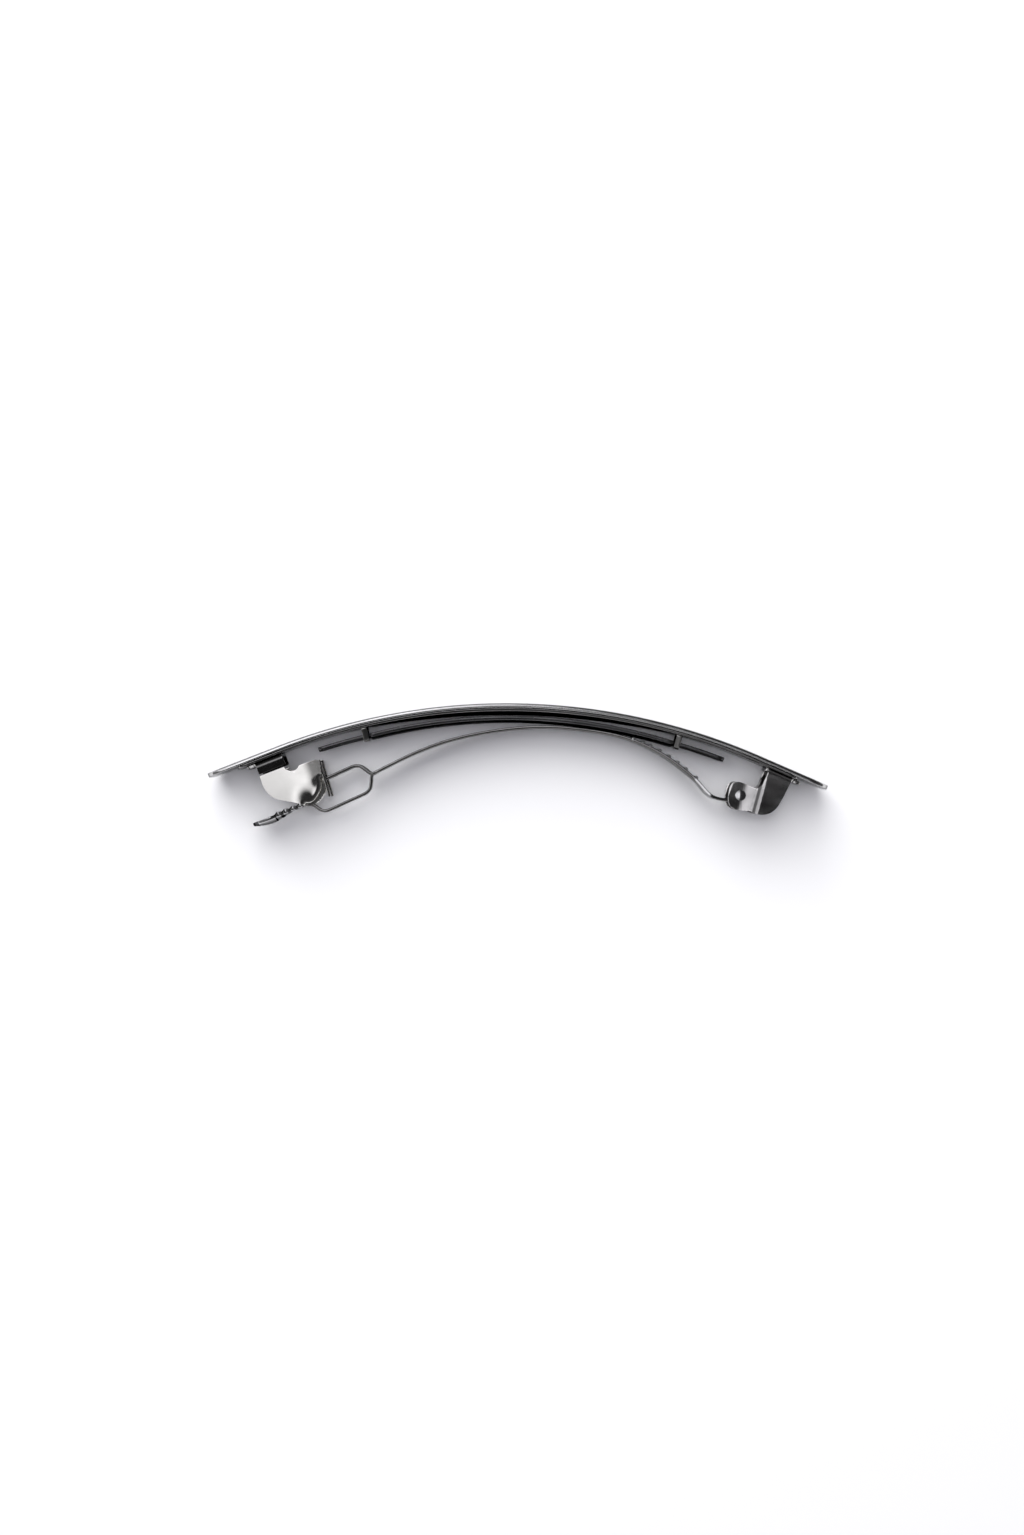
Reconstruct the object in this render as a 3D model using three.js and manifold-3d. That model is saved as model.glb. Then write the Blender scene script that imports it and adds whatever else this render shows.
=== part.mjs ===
// French barrette: an arched cover plate over an arched base plate, with a clasp arm that
// swings on a hinge pin at one end and lies between two springy latch ears at the other.
// Millimetres. X runs along the barrette, Y points out through the arch, and Z runs across
// its width: the barrette lies on one long edge, and the origin is under its middle.

import * as THREE from 'three';
import { mergeVertices } from 'three/addons/utils/BufferGeometryUtils.js';
import Module from 'manifold-3d';

const wasm = await Module();
wasm.setup();

// ---- driving dimensions --------------------------------------------------------------

// The arch: the cover's outer face is an arc with a straight run at each end.
const ARCH_RADIUS = 89.5;
const ARCH_ANGLE = THREE.MathUtils.degToRad(22.4);
const COVER_LENGTH = 88;
const COVER_WIDTH = 10;
const COVER_THICKNESS = 0.6;
const COVER_CORNER = 2.6;

// Every layer below lies at a depth under the cover's outer face.
const BASE_LENGTH = 80;
const BASE_WIDTH = 8;
const BASE_DEPTH = 0.65;
const BASE_THICKNESS = 0.4;
const BASE_CORNER = 1.2;
const FOOT_DEPTH = 1.1;
const SHEET = 0.45;

// Tension bow: a wide spring strip whose narrow tongues run through two keepers.
const BOW_HALF_LENGTH = 22.3;
const BOW_SHIFT = 0.45;
const BOW_WIDTH = 7;
const BOW_DEPTH = 1.85;
const BOW_END_DROP = 0.3;
const TONGUE_WIDTH = 4;
const TONGUE_LENGTH = 7.9;
const KEEPER_START = 22.55;
const KEEPER_LENGTH = 0.8;
const KEEPER_DEPTH = 2.75;
const KEEPER_STRAP = 0.35;
const KEEPER_CLEARANCE = 0.3;

// Hinge: the pin's axis runs along Z.
const PIN = new THREE.Vector2(31.55, -12.4);
const PIN_RADIUS = 0.45;
const PIN_HEAD_RADIUS = 0.78;
const PIN_HEAD_HEIGHT = 0.3;
const BORE_RADIUS = 0.55;
const WING_INNER = 2.95;
const EAR_INNER = 3.55;
const EAR_OUTER = EAR_INNER + SHEET;

// Clasp arm, drawn as the middle line of its strip.
const ARM_THICKNESS = 0.4;
const EYE_RADIUS = 0.78;
const EYE_HALF_WIDTH = 2.7;
const ARM_WIDE_HALF_WIDTH = 3.2;
const ARM_SLIM_HALF_WIDTH = 2.1;
const LOOP_ANGLE = THREE.MathUtils.degToRad(25.6);
const LOOP_START = new THREE.Vector2(-20.5, -10.3);
const LOOP_LENGTH = 10.3;
const LOOP_HALF_HEIGHT = 2.12;
const RAIL_INNER = 0.95;
const TONGUE_LEG_HALF_WIDTH = 0.7;
const GRIP_LENGTH = 8.0;
const GRIP_HALF_WIDTH = 2.9;
const RIDGE_PITCH = 1.1;
const RIDGE_HEIGHT = 0.16;

// Latch ears, drawn in the frame of the left straight run.
const CREASE_DEPTH = 3.0;
const CREASE_GAP = 0.1;
const CATCH_INNER = 2.7;

// ---- solids --------------------------------------------------------------------------

function toSolid(geometry) {
  geometry.deleteAttribute('normal');
  geometry.deleteAttribute('uv');
  const merged = mergeVertices(geometry, 1e-4);
  return new wasm.Manifold(new wasm.Mesh({
    numProp: 3,
    vertProperties: new Float32Array(merged.attributes.position.array),
    triVerts: new Uint32Array(merged.index.array),
  }));
}

function toGeometry(solid) {
  const mesh = solid.getMesh();
  const geometry = new THREE.BufferGeometry();
  geometry.setAttribute('position', new THREE.BufferAttribute(mesh.vertProperties, 3));
  geometry.setIndex(new THREE.BufferAttribute(mesh.triVerts, 1));
  geometry.computeVertexNormals();
  return geometry;
}

function join(...geometries) {
  return toGeometry(geometries.map(toSolid).reduce((sum, next) => sum.add(next)));
}

function cut(geometry, ...tools) {
  return toGeometry(tools.map(toSolid).reduce((rest, tool) => rest.subtract(tool), toSolid(geometry)));
}

function common(first, second) {
  return toGeometry(toSolid(first).intersect(toSolid(second)));
}

// A flat plate: the outline in XY, filled between two heights.
function plate(shape, low, high) {
  const depth = high - low;
  const geometry = new THREE.ExtrudeGeometry(shape, { depth, bevelEnabled: false, curveSegments: 10 });
  geometry.translate(0, 0, low);
  return geometry;
}

function polygon(points) {
  return new THREE.Shape(points.map(([x, y]) => new THREE.Vector2(x, y)));
}

// A strip of sheet metal: each station holds the middle point, the normal in the XY plane,
// how far the strip reaches above and below that point, and its two edges in Z.
function strip(stations) {
  const position = [];
  const index = [];
  for (const { point, normal, above, below, near, far } of stations) {
    const top = point.clone().addScaledVector(normal, above);
    const bottom = point.clone().addScaledVector(normal, -below);
    position.push(top.x, top.y, near, top.x, top.y, far);
    position.push(bottom.x, bottom.y, far, bottom.x, bottom.y, near);
  }
  const quad = (a, b, c, d) => index.push(a, b, c, a, c, d);
  for (let i = 0; i + 1 < stations.length; i += 1) {
    for (let side = 0; side < 4; side += 1) {
      const next = (side + 1) % 4;
      quad(4 * i + side, 4 * i + 4 + side, 4 * i + 4 + next, 4 * i + next);
    }
  }
  const last = 4 * (stations.length - 1);
  quad(0, 1, 2, 3);
  quad(last + 3, last + 2, last + 1, last);
  const geometry = new THREE.BufferGeometry();
  geometry.setAttribute('position', new THREE.Float32BufferAttribute(position, 3));
  geometry.setIndex(index);
  geometry.computeVertexNormals();
  return geometry;
}

// ---- the arch ------------------------------------------------------------------------

const ARC_RUN = ARCH_RADIUS * ARCH_ANGLE;
const STRAIGHT_X = ARCH_RADIUS * Math.sin(ARCH_ANGLE);
const STRAIGHT_Y = ARCH_RADIUS * (Math.cos(ARCH_ANGLE) - 1);

// The point at a run along the cover's outer face and a depth under it.
function archPlace(run, depth) {
  const angle = THREE.MathUtils.clamp(run / ARCH_RADIUS, -ARCH_ANGLE, ARCH_ANGLE);
  const beyond = run - angle * ARCH_RADIUS;
  const normal = new THREE.Vector2(Math.sin(angle), Math.cos(angle));
  const tangent = new THREE.Vector2(normal.y, -normal.x);
  const point = new THREE.Vector2(0, -ARCH_RADIUS)
    .addScaledVector(normal, ARCH_RADIUS - depth)
    .addScaledVector(tangent, beyond);
  return { point, normal };
}

// Half of a straight length measured as a chord, as a run along the arch.
function runTo(x) {
  return ARC_RUN + (x - STRAIGHT_X) / Math.cos(ARCH_ANGLE);
}

// Stations of a plate that follows the arch and has rounded corners.
function archStations(halfRun, halfWidth, corner, depth, thickness) {
  const corners = [];
  const cornerSteps = 8;
  for (let i = 0; i <= cornerSteps; i += 1) {
    const turn = (i / cornerSteps) * (Math.PI / 2);
    const run = halfRun - corner + corner * Math.sin(turn);
    corners.push([run, halfWidth - corner + corner * Math.cos(turn)]);
  }
  const steps = 26;
  const arc = [];
  for (let i = 0; i <= steps; i += 1) {
    arc.push([ARC_RUN * (2 * i / steps - 1), halfWidth]);
  }
  const left = corners.map(([run, width]) => [-run, width]).reverse();
  return [...left, ...arc, ...corners].map(([run, width]) => ({
    ...archPlace(run, depth),
    above: 0,
    below: thickness,
    near: width,
    far: -width,
  }));
}

// ---- sub-parts -----------------------------------------------------------------------

function coverPlate() {
  const stations = archStations(
    runTo(COVER_LENGTH / 2), COVER_WIDTH / 2, COVER_CORNER, 0, COVER_THICKNESS);
  return strip(stations);
}

// A keeper is a bridge of three straps under the base, across the bow's tongue.
function keeper(side) {
  const halfSpan = TONGUE_WIDTH / 2 + KEEPER_CLEARANCE;
  const middle = BOW_SHIFT + side * (KEEPER_START + KEEPER_LENGTH / 2);
  const strap = (from, to, near, far) => strip([-0.5, 0.5].map((end) => ({
    ...archPlace(middle + end * KEEPER_LENGTH, 0),
    above: -from,
    below: to,
    near,
    far,
  })));
  const rootDepth = BASE_DEPTH + BASE_THICKNESS / 2;
  const footDepth = KEEPER_DEPTH + KEEPER_STRAP;
  return [
    strap(rootDepth, footDepth, halfSpan + KEEPER_STRAP, halfSpan),
    strap(rootDepth, footDepth, -halfSpan, -halfSpan - KEEPER_STRAP),
    strap(KEEPER_DEPTH, footDepth, halfSpan + KEEPER_STRAP, -halfSpan - KEEPER_STRAP),
  ];
}

function basePlate() {
  const stations = archStations(
    runTo(BASE_LENGTH / 2), BASE_WIDTH / 2, BASE_CORNER, BASE_DEPTH, BASE_THICKNESS);
  return join(strip(stations), ...keeper(-1), ...keeper(1));
}

function tensionBow() {
  const steps = 30;
  const tongueEnd = BOW_HALF_LENGTH + TONGUE_LENGTH;
  const depthAt = (run) => BOW_DEPTH + BOW_END_DROP * Math.min(1, Math.abs(run) / BOW_HALF_LENGTH) ** 2;
  const station = (halfWidth) => (run) => ({
    ...archPlace(run + BOW_SHIFT, depthAt(run)),
    above: 0,
    below: SHEET,
    near: halfWidth,
    far: -halfWidth,
  });
  const runs = (half) => Array.from({ length: steps + 1 }, (_, i) => half * (2 * i / steps - 1));
  const wide = strip(runs(BOW_HALF_LENGTH).map(station(BOW_WIDTH / 2)));
  const narrow = strip(runs(tongueEnd).map(station(TONGUE_WIDTH / 2)));
  return join(wide, narrow);
}

// ---- hinge end -----------------------------------------------------------------------

// The hinge ear's outline: a plate under the foot that runs into a round lobe at the pin.
function hingeEarOutline() {
  const shape = new THREE.Shape();
  shape.moveTo(35.3, -8.65);
  shape.lineTo(34.85, -10.4);
  shape.quadraticCurveTo(34.6, -11.5, 33.7, -11.3);
  shape.lineTo(31.6, -10.55);
  shape.quadraticCurveTo(30.2, -10.2, 29.95, -11.6);
  shape.lineTo(29.8, -12.8);
  shape.quadraticCurveTo(29.8, -14.35, 31.3, -14.5);
  shape.lineTo(33.0, -14.6);
  shape.quadraticCurveTo(33.7, -15.1, 34.6, -15.1);
  shape.quadraticCurveTo(36.2, -15.05, 37.0, -13.6);
  shape.lineTo(37.7, -12.3);
  shape.lineTo(38.4, -9.95);
  return shape;
}

// The ear steps inward on its way to the pin: the step's section, seen along Y.
function joggledSheet(side) {
  const section = polygon([
    [28, WING_INNER], [33.1, WING_INNER], [34.2, EAR_INNER], [40, EAR_INNER],
    [40, EAR_OUTER], [34.0, EAR_OUTER], [32.9, WING_INNER + SHEET], [28, WING_INNER + SHEET],
  ].map(([x, z]) => [x, side * z]));
  return plate(section, 6, 18).rotateX(Math.PI / 2);
}

function hingeBracket() {
  const outline = plate(hingeEarOutline(), -6, 6);
  const ears = [1, -1].map((side) => common(outline.clone(), joggledSheet(side)));
  const foot = new THREE.BoxGeometry(5.3, SHEET, 2 * EAR_OUTER);
  foot.translate(4.25, -FOOT_DEPTH - SHEET / 2, 0);
  foot.rotateZ(-ARCH_ANGLE).translate(STRAIGHT_X, STRAIGHT_Y, 0);
  const bore = new THREE.CylinderGeometry(BORE_RADIUS, BORE_RADIUS, 12, 24);
  bore.rotateX(Math.PI / 2).translate(PIN.x, PIN.y, 0);
  const slot = new THREE.BoxGeometry(1.0, 0.3, 12);
  slot.translate(PIN.x + 1.35, PIN.y - 0.2, 0);
  return cut(join(foot, ...ears), bore, slot);
}

function hingePin() {
  const headStart = WING_INNER + SHEET + 0.05;
  const headEnd = headStart + PIN_HEAD_HEIGHT;
  const half = [
    [PIN_RADIUS, 0], [PIN_RADIUS, headStart], [PIN_HEAD_RADIUS, headStart],
    [PIN_HEAD_RADIUS, headStart + PIN_HEAD_HEIGHT / 3], [PIN_HEAD_RADIUS * 0.7, headEnd], [0, headEnd],
  ];
  const mirrored = half.slice(1).map(([r, h]) => [r, -h]).reverse();
  const profile = [...mirrored, ...half.slice(1)].map(([r, h]) => new THREE.Vector2(r, h));
  return new THREE.LatheGeometry(profile, 24).rotateX(Math.PI / 2).translate(PIN.x, PIN.y, 0);
}

// ---- clasp arm -----------------------------------------------------------------------

// Stations along a line of points, with the normal on the line's left-hand side.
function alongPath(points, describe) {
  const lengths = [0];
  for (let i = 1; i < points.length; i += 1) {
    lengths.push(lengths[i - 1] + points[i].distanceTo(points[i - 1]));
  }
  return points.map((point, i) => {
    const before = points[Math.max(i - 1, 0)];
    const after = points[Math.min(i + 1, points.length - 1)];
    const tangent = after.clone().sub(before).normalize();
    const normal = new THREE.Vector2(-tangent.y, tangent.x);
    return { point, normal, ...describe(lengths[i], lengths[lengths.length - 1]) };
  });
}

function armLine() {
  const eye = new THREE.EllipseCurve(
    PIN.x, PIN.y, EYE_RADIUS, EYE_RADIUS, THREE.MathUtils.degToRad(195), -Math.PI / 2, true);
  const bow = new THREE.SplineCurve([
    new THREE.Vector2(PIN.x, PIN.y - EYE_RADIUS),
    new THREE.Vector2(28.8, -13.0),
    new THREE.Vector2(27.1, -12.3),
    new THREE.Vector2(24.8, -9.95),
    new THREE.Vector2(20.1, -6.65),
    new THREE.Vector2(14.3, -4.35),
    new THREE.Vector2(6.0, -3.3),
    new THREE.Vector2(-1.0, -3.6),
    new THREE.Vector2(-8.3, -5.0),
    new THREE.Vector2(-14.2, -7.1),
    LOOP_START,
  ]);
  return [...eye.getPoints(20), ...bow.getSpacedPoints(60).slice(1)];
}

// From the loop's frame, which runs along the arm's straight end, to the barrette's.
function loopPoint(run, height) {
  return new THREE.Vector2(-run, height).rotateAround(new THREE.Vector2(), LOOP_ANGLE).add(LOOP_START);
}

// One leg of the loop: up beside the middle line, along it, and back down to it.
function loopLeg(side, near, far) {
  const high = side * LOOP_HALF_HEIGHT;
  const path = new THREE.Path();
  path.moveTo(-0.4, 0);
  path.lineTo(0.15, 0);
  path.quadraticCurveTo(0.5, 0.05 * high, 0.8, 0.4 * high);
  path.lineTo(1.25, 0.75 * high);
  path.quadraticCurveTo(1.7, high, 2.6, high);
  path.lineTo(LOOP_LENGTH - 2.4, high);
  path.quadraticCurveTo(LOOP_LENGTH - 1.5, high, LOOP_LENGTH - 1.0, 0.6 * high);
  path.quadraticCurveTo(LOOP_LENGTH - 0.4, 0, LOOP_LENGTH + 0.6, 0);
  const half = ARM_THICKNESS / 2;
  const points = path.getPoints(5).map(({ x, y }) => loopPoint(x, y));
  return strip(alongPath(points, () => ({ above: half, below: half, near, far })));
}

// The grip's edge in plan: it widens from the loop and ends in a round tip.
function gripHalfWidth(run) {
  const widest = GRIP_LENGTH - GRIP_HALF_WIDTH;
  if (run < widest) {
    return THREE.MathUtils.lerp(ARM_SLIM_HALF_WIDTH, GRIP_HALF_WIDTH, run / widest);
  }
  const past = Math.min(run - widest, 0.985 * GRIP_HALF_WIDTH);
  return Math.sqrt(GRIP_HALF_WIDTH ** 2 - past ** 2);
}

function grip() {
  const steps = 56;
  const points = [];
  for (let i = 0; i <= steps; i += 1) {
    points.push(loopPoint(LOOP_LENGTH + GRIP_LENGTH * i / steps, 0));
  }
  const ridged = (run) => run > 0.6 && run < 0.6 + 4 * RIDGE_PITCH;
  const ridge = (run) => (ridged(run) ? Math.sin(Math.PI * (run - 0.6) / RIDGE_PITCH) ** 2 : 0);
  return strip(alongPath(points, (run) => ({
    above: ARM_THICKNESS / 2,
    below: ARM_THICKNESS / 2 + RIDGE_HEIGHT * ridge(run),
    near: gripHalfWidth(run),
    far: -gripHalfWidth(run),
  })));
}

function claspArm() {
  const eyeRun = EYE_RADIUS * THREE.MathUtils.degToRad(285);
  const halfWidthAt = (run, total) => {
    const past = run - eyeRun;
    if (past < 2.6) return EYE_HALF_WIDTH;
    if (past < 4) return THREE.MathUtils.lerp(EYE_HALF_WIDTH, ARM_WIDE_HALF_WIDTH, (past - 2.6) / 1.4);
    const along = (run - eyeRun - 4) / (total - eyeRun - 4);
    return THREE.MathUtils.lerp(ARM_WIDE_HALF_WIDTH, ARM_SLIM_HALF_WIDTH, along);
  };
  const main = strip(alongPath(armLine(), (run, total) => ({
    above: ARM_THICKNESS / 2,
    below: ARM_THICKNESS / 2,
    near: halfWidthAt(run, total),
    far: -halfWidthAt(run, total),
  })));
  return join(
    main,
    loopLeg(1, ARM_SLIM_HALF_WIDTH, RAIL_INNER),
    loopLeg(1, -RAIL_INNER, -ARM_SLIM_HALF_WIDTH),
    loopLeg(-1, TONGUE_LEG_HALF_WIDTH, -TONGUE_LEG_HALF_WIDTH),
    grip());
}

// ---- latch end -----------------------------------------------------------------------

function latchBracket() {
  const foot = new THREE.BoxGeometry(5.4, SHEET, 7.3);
  foot.translate(-2.55, -FOOT_DEPTH - SHEET / 2, 0);
  const creaseTop = CREASE_DEPTH - CREASE_GAP / 2;
  const necks = [1, -1].map((side) => {
    const section = polygon([
      [side * 3.2, -FOOT_DEPTH], [side * 3.65, -FOOT_DEPTH],
      [side * EAR_OUTER, -creaseTop], [side * EAR_INNER, -creaseTop],
    ]);
    return plate(section, -0.15, 3.85).rotateY(-Math.PI / 2);
  });
  return join(foot, ...necks);
}

function latchEarOutline() {
  const top = -CREASE_DEPTH - CREASE_GAP / 2;
  const shape = new THREE.Shape();
  shape.moveTo(-3.85, top);
  shape.lineTo(-3.9, -4.4);
  shape.quadraticCurveTo(-3.75, -6.4, -2.3, -7.25);
  shape.lineTo(0.6, -9.05);
  shape.quadraticCurveTo(1.5, -9.7, 2.6, -9.1);
  shape.quadraticCurveTo(4.35, -8.0, 4.3, -6.5);
  shape.lineTo(4.95, -3.95);
  shape.lineTo(4.3, -3.7);
  shape.lineTo(1.9, -3.6);
  shape.absarc(1.0, -2.9, 1.15, THREE.MathUtils.degToRad(-39), THREE.MathUtils.degToRad(-172.5), true);
  return shape;
}

// The catch: a tab folded in from the ear's edge, and the lip that curls round its corner.
function latchEar(side) {
  const between = (inner, outer) => (side > 0 ? [inner, outer] : [-outer, -inner]);
  const pad = plate(latchEarOutline(), ...between(EAR_INNER, EAR_OUTER));
  const tab = polygon([[4.6, -3.95], [4.95, -3.95], [4.53, -9.3], [4.18, -9.3]]);
  const lip = new THREE.Path();
  lip.moveTo(4.12, -6.4);
  lip.quadraticCurveTo(4.15, -7.85, 2.4, -8.93);
  lip.quadraticCurveTo(1.6, -9.45, 0.8, -8.95);
  const [far, near] = between(CATCH_INNER, EAR_OUTER);
  const curl = strip(alongPath(lip.getPoints(8), () => ({ above: 0.17, below: 0.17, near, far })));
  return join(pad, plate(tab, ...between(CATCH_INNER, EAR_OUTER)), curl);
}

// ---- assembly ------------------------------------------------------------------------

const POLISHED = { color: 0x8f9196, roughness: 0.16, metalness: 1 };
const BRIGHT = { color: 0xc9cace, roughness: 0.1, metalness: 1 };
const SPRING = { color: 0x77797d, roughness: 0.24, metalness: 1 };

function part(name, geometry, look) {
  const mesh = new THREE.Mesh(geometry, new THREE.MeshStandardMaterial(look));
  mesh.name = name;
  return mesh;
}

const latchEnd = new THREE.Group();
latchEnd.position.set(-STRAIGHT_X, STRAIGHT_Y, 0);
latchEnd.rotation.z = ARCH_ANGLE;
latchEnd.add(
  part('latch_bracket', latchBracket(), POLISHED),
  part('near_latch_ear', latchEar(1), BRIGHT),
  part('far_latch_ear', latchEar(-1), BRIGHT));

const barrette = new THREE.Group();
barrette.add(
  part('cover_plate', coverPlate(), POLISHED),
  part('base_plate', basePlate(), POLISHED),
  part('tension_bow', tensionBow(), SPRING),
  part('hinge_bracket', hingeBracket(), POLISHED),
  part('hinge_pin', hingePin(), BRIGHT),
  part('clasp_arm', claspArm(), SPRING),
  latchEnd);

// The origin is at the middle of the box's lowest face.
const box = new THREE.Box3().setFromObject(barrette, true);
const middle = box.getCenter(new THREE.Vector3());
barrette.position.set(-middle.x, -middle.y, -box.min.z);

export default barrette;
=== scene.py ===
import math

import bmesh
import bpy
from mathutils import Matrix, Vector


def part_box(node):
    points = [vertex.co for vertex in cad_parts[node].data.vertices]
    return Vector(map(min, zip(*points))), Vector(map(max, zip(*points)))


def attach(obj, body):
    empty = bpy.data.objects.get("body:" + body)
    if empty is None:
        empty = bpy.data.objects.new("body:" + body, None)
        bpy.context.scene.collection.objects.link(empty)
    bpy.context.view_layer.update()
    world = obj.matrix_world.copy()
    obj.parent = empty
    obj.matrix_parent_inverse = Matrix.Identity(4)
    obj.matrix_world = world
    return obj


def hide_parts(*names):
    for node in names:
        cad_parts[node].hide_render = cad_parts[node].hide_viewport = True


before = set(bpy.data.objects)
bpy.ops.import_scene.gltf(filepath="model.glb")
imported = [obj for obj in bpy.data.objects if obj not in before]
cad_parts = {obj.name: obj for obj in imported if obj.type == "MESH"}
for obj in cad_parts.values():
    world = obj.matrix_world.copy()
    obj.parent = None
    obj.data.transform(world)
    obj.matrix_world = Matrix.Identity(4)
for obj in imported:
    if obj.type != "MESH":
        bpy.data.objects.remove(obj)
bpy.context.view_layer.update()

# ---- sizes, in millimetres, in the drawing's frame: X along, Y out of the arch, Z across --------
# The drawing's origin is the middle of the cover's outer face. A crown rounds the edges of an
# outer face, an edge those of an inner face. A share goes from 0 to 1.

MM = 0.001
cover_low, cover_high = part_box("cover_plate")
APEX_Y = cover_high.y
MIDDLE_Z = (cover_low.z + cover_high.z) / 2

ARCH_RADIUS = 89.5
ARCH_ANGLE = math.radians(22.4)
ARC_RUN = ARCH_RADIUS * ARCH_ANGLE
STRAIGHT_X = ARCH_RADIUS * math.sin(ARCH_ANGLE)
STRAIGHT_Y = ARCH_RADIUS * (math.cos(ARCH_ANGLE) - 1)

COVER_HALF_WIDTH = (cover_high.z - cover_low.z) / MM / 2
COVER_HALF_CHORD = cover_high.x / MM
COVER_THICKNESS = 0.6
COVER_CORNER = 2.6
COVER_EDGE = 0.2
COVER_CROWN = 0.21

BASE_HALF_WIDTH = 4.0
BASE_HALF_CHORD = 40.0
BASE_DEPTH = 0.65
BASE_THICKNESS = 0.4
BASE_CORNER = 1.2
BASE_EDGE = 0.3
BASE_CROWN = 0.07
CHANNEL_DEPTH = 0.6
CHANNEL_HALF_RUN = 27.0
FOOT_DEPTH = 1.1
SHEET = 0.45

BOW_SHIFT = 0.45
BOW_HALF_LENGTH = 22.3
BOW_HALF_WIDTH = 3.5
BOW_DEPTH = 1.85
BOW_END_DROP = 0.3
BOW_CUP = 0.45
BOW_RISE = 0.12
BOW_EDGE = 0.3
BOW_CROWN = 0.15
BOW_SHOULDER = 0.6
TONGUE_HALF_WIDTH = 2.0
TONGUE_LENGTH = 7.9
TONGUE_CORNER = 0.9
KEEPER_START = 22.55
KEEPER_LENGTH = 0.8
KEEPER_DEPTH = 2.75
KEEPER_STRAP = 0.35
KEEPER_HALF_SPAN = 2.3
KEEPER_LEAN = 0.55
KEEPER_LEAN_SHARE = 0.15
KEEPER_TURN = 0.35
KEEPER_BEVEL = 0.12

PIN = Vector((31.55, -12.4))
PIN_RADIUS = 0.45
PIN_HEAD_GAP = 0.03
PIN_HEAD_RADIUS = 0.78
PIN_HEAD_HEIGHT = 0.3
PIN_HEAD_DOME = 0.08
PIN_HEAD_ROUND = 0.12
PIN_HEAD_UNDERCUT = 0.05
WING_INNER = 2.95
EAR_INNER = 3.55

BEND_RADIUS = 0.32
FORMING_STEP = 0.16
ROOT_RELIEF = 0.3
HINGE_FOOT = (1.6, 6.9)
HINGE_FOOT_CORNER = 0.5
HINGE_ROOT_WIDER = (0.05, 0.1)
HINGE_ROOT_SLOPE = 0.35
HINGE_EAR_START = 0.2
HINGE_RIM = 0.12
WING_START = 1.2
WING_LEAN = 0.25
WING_STEEP = (33.75, 34.5)
WING_EASY = (31.5, 34.3)
WING_STEEP_SHARE = 0.78

ARM_HALF_THICKNESS = 0.23
ARM_EDGE = 0.1
ARM_CROWN = 0.29
EYE_RADIUS = 0.78
EYE_START_DEGREES = 195
EYE_END_DEGREES = -90
EYE_RUN = EYE_RADIUS * math.radians(EYE_START_DEGREES - EYE_END_DEGREES)
EYE_HALF_WIDTH = 2.7
EYE_NECK = 2.6
ARM_FLARE = 1.4
ARM_WIDE_HALF_WIDTH = 3.2
ARM_SLIM_HALF_WIDTH = 2.1
LOOP_ANGLE = math.radians(25.6)
LOOP_START = Vector((-20.5, -10.3))
LOOP_LENGTH = 10.3
LOOP_HALF_HEIGHT = 2.12
RAIL_INNER = 0.95
TONGUE_LEG_HALF_WIDTH = 0.7
GRIP_LENGTH = 8.4
GRIP_LIFT = math.radians(3)
GRIP_HALF_WIDTH = 2.9
GRIP_BLUNT = 0.985
GRIP_TIP = 0.9
RIDGE_START = 0.6
RIDGE_PITCH = 1.1
RIDGE_COUNT = 4
RIDGE_HEIGHT = 0.26
RIDGE_FOOT_SHARE = 0.45
SPOON_DEPTH = 0.6
SPOON_RUN = (1.5, 5.0)
# The arm's stretch by the hinge that is painted bright, a painted highlight, and is shaped squarer
# and slanted.
HIGHLIGHT_STRETCH_START = 25.2
HIGHLIGHT_STRETCH_END = 28.0
HIGHLIGHT_STRETCH_SLANT = 0.12
HIGHLIGHT_STRETCH_FADE = 0.3
BOSS_COUNT = 8
BOSS_FIRST = 25.0
BOSS_LAST = 16.2
BOSS_REACH = 2.6
BOSS_RADIUS = 0.32
BOSS_HEIGHT = 0.32

LATCH_HALF_WIDTH = 3.65
LATCH_LEAN = math.radians(-13)
LATCH_FOOT = (-5.2, 0.15)
LATCH_FOOT_CORNER = 0.6
LATCH_NECK = (-3.85, 0.15)
LATCH_NECK_LENGTH = 1.05
LATCH_RIM = 0.07
EAR_STEP = 0.13
EAR_SHEET = 0.9 * SHEET
EAR_RIM = 0.17
CATCH_INNER = 2.7
CATCH_HALF_THICKNESS = 0.17
CATCH_LAP = 0.1
CATCH_EDGE = 0.04
CATCH_CROWN = 0.28


def row_point(x, y, z):
    """A drawn point in the row frame, in metres."""
    return Vector((x * MM, APEX_Y + y * MM, MIDDLE_Z + z * MM))


# ---- mesh tools ---------------------------------------------------------------------------------

NORMAL_WEIGHT = 80
LEAST_RADIUS = 0.002
LEAST_SIZE = 1e-6
# A section's height and width, in corner radii, that always leave a little flat between corners.
HEIGHT_ROOM = 1.04
WIDTH_ROOM = 2.05
# The share of a rounded end's inset that is used, so that the end never closes to a point.
END_INSET = 0.98
SIDE_STEPS = 7
CORNER_STEPS = 6
END_STEPS = 3
PLATE_STEPS = 150
PLATE_CORNER_STEPS = 12
BOW_STEPS = 60
BOW_CORNER_STEPS = 8
TONGUE_STEPS = 20
KEEPER_STEPS = 48
EYE_STEPS = 36
ARM_STEPS = 150
LOOP_STEPS = 70
GRIP_STEPS = 110
LIP_STEPS = 40
CATCH_STEPS = 12
FOOT_CORNER_STEPS = 6
NOTCH_STEPS = 18
PIN_TURNS = 40
PIN_ROUND_STEPS = 6
PIN_DOME_STEPS = 8
SAME_POINT = 1e-4
SAME_PIN_POINT = 1e-7
CUT_TOLERANCE = 1e-5
RIM_STEPS = 3
RIM_ANGLE = math.radians(50)
DOME_RINGS = 4
DOME_TURNS = 16


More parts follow.
